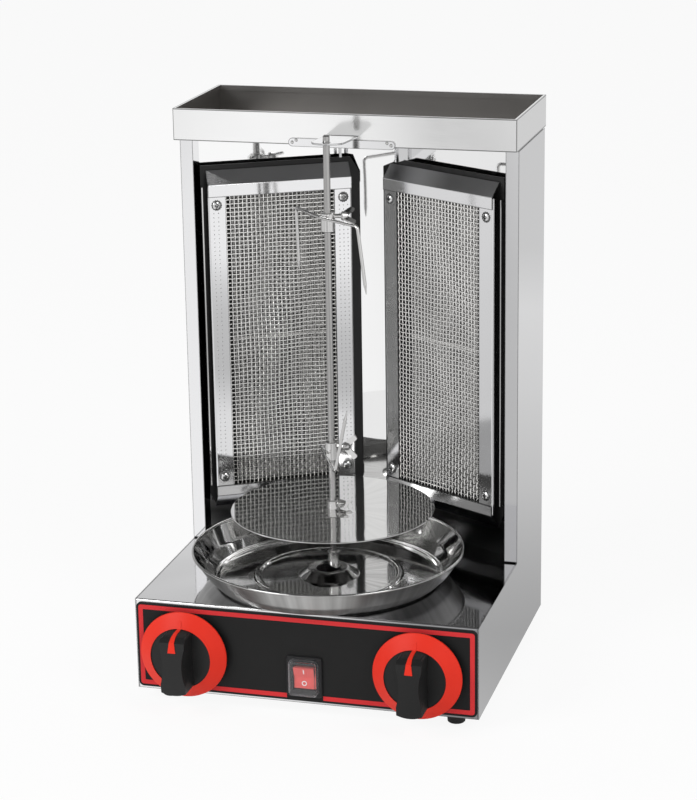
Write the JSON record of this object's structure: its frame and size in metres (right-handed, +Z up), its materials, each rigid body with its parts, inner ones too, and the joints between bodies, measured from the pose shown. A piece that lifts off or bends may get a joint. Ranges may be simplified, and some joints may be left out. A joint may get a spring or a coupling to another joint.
{
  "type": "gas doner kebab grill",
  "caption": "Table-top gas grill: motor-driven upright spit before two angled mesh-fronted burners, with a round drip pan, forks, a top tray and a knob panel.",
  "frame": {"origin": "on the table plane under the middle of the whole object, cords none", "axes": "+Z up along the spit, -Y to the front with the knobs, +X to the right of a person facing the knobs"},
  "size_m": [0.322, 0.35, 0.5221],
  "materials": {
    "stainless_polished": "mirror polished stainless sheet",
    "stainless_satin": "satin stainless sheet",
    "steel_bright": "bright plated steel",
    "mesh_wire": "woven heat-resistant steel wire",
    "black_enamel": "black heat-proof paint",
    "cast_grey": "cast burner head",
    "burner_ceramic": "perforated ceramic plaque",
    "rubber_black": "matt rubber",
    "panel_black": "black printed panel film",
    "line_red": "printed red band",
    "knob_red": "glossy moulded plastic",
    "knob_black": "fine-grained moulded plastic",
    "switch_black": "moulded plastic",
    "switch_red": "translucent red plastic",
    "cover_clear": "clear moulded hood",
    "brass": "turned brass",
    "gas_steel": "zinc plated pipe",
    "gas_aluminium": "bent soft tube",
    "motor_grey": "plated gear motor"
  },
  "bodies": {
    "cabinet": {"base_top": "stainless_polished", "back_liner": "stainless_polished", "side_panel_left": "stainless_polished", "side_panel_right": "stainless_polished", "spit_bracket": "stainless_polished", "burner_frame_left": "stainless_polished", "burner_frame_right": "stainless_polished", "back_panel": "stainless_satin", "base_plate": "stainless_satin", "roof_plate": "stainless_satin", "top_tray": "stainless_satin", "motor_bracket": "stainless_satin", "burner_hangers": "stainless_satin", "bracket_rivets": "steel_bright", "burner_screws": "steel_bright", "foot_screws": "steel_bright", "burner_mesh_left": "mesh_wire", "burner_mesh_right": "mesh_wire", "burner_shield_left": "black_enamel", "burner_shield_right": "black_enamel", "burner_body_left": "cast_grey", "burner_body_right": "cast_grey", "burner_plaques_left": "burner_ceramic", "burner_plaques_right": "burner_ceramic", "feet": "rubber_black", "cable_grommet": "rubber_black", "control_fascia": "panel_black", "fascia_line": "line_red", "switch_body": "switch_black", "switch_cover": "cover_clear", "valve_body_left": "brass", "valve_body_right": "brass", "injector_left": "brass", "injector_right": "brass", "gas_inlet": "brass", "gas_rail": "gas_steel", "gas_tube_left": "gas_aluminium", "gas_tube_right": "gas_aluminium", "gear_motor": "motor_grey"},
    "knob_left": {"knob_ring_left": "knob_red", "knob_grip_left": "knob_black", "knob_pointer_left": "knob_red", "valve_stem_left": "steel_bright"},
    "knob_right": {"knob_ring_right": "knob_red", "knob_grip_right": "knob_black", "knob_pointer_right": "knob_red", "valve_stem_right": "steel_bright"},
    "rocker": {"switch_rocker": "switch_red"},
    "drive": {"drive_socket": "steel_bright"},
    "spit": {"spit_rod": "steel_bright"},
    "disc": {"meat_disc": "stainless_polished", "disc_hub": "steel_bright"},
    "disc_thumb": {"disc_screw": "steel_bright"},
    "lower_fork": {"lower_fork_collar": "steel_bright", "lower_fork_wire": "steel_bright"},
    "lower_thumb": {"lower_fork_screw": "steel_bright"},
    "upper_fork": {"upper_fork_collar": "steel_bright", "upper_fork_wire": "steel_bright"},
    "upper_thumb": {"upper_fork_screw": "steel_bright"},
    "pan": {"drip_pan": "stainless_polished"}
  },
  "joints": [
    {"name": "knob_left_turn", "type": "hinge", "parent": "cabinet", "child": "knob_left", "pos_m": [-0.112, -0.134, 0.052], "axis": [0, -1, 0], "range_deg": [0, 210]},
    {"name": "knob_right_turn", "type": "hinge", "parent": "cabinet", "child": "knob_right", "pos_m": [0.106, -0.134, 0.052], "axis": [0, -1, 0], "range_deg": [0, 210]},
    {"name": "rocker_tilt", "type": "hinge", "parent": "cabinet", "child": "rocker", "pos_m": [0, -0.1325, 0.0385], "axis": [-1, 0, 0], "range_deg": [0, 18]},
    {"name": "drive_spin", "type": "hinge", "parent": "cabinet", "child": "drive", "pos_m": [0, -0.034, 0.072], "axis": [0, 0, 1], "continuous": true},
    {"name": "spit_lift", "type": "slide", "parent": "drive", "child": "spit", "axis": [0, 0, 1], "range_m": [0, 0.02]},
    {"name": "disc_slide", "type": "slide", "parent": "spit", "child": "disc", "axis": [0, 0, 1], "range_m": [-0.01, 0.015]},
    {"name": "disc_screw_turn", "type": "hinge", "parent": "disc", "child": "disc_thumb", "pos_m": [0.01, -0.034, 0.1694], "axis": [1, 0, 0], "range_deg": [-25, 25]},
    {"name": "lower_fork_slide", "type": "slide", "parent": "spit", "child": "lower_fork", "axis": [0, 0, 1], "range_m": [-0.015, 0.08]},
    {"name": "lower_screw_turn", "type": "hinge", "parent": "lower_fork", "child": "lower_thumb", "pos_m": [0.00998, -0.0347, 0.2256], "axis": [0.9976, -0.0698, 0], "continuous": true},
    {"name": "upper_fork_slide", "type": "slide", "parent": "spit", "child": "upper_fork", "axis": [0, 0, 1], "range_m": [-0.09, 0.025]},
    {"name": "upper_screw_turn", "type": "hinge", "parent": "upper_fork", "child": "upper_thumb", "pos_m": [0.0094, -0.03058, 0.4391], "axis": [0.9397, 0.342, 0], "continuous": true},
    {"name": "pan_lift", "type": "slide", "parent": "cabinet", "child": "pan", "axis": [0, 0, 1], "range_m": [0, 0.012]}
  ]
}
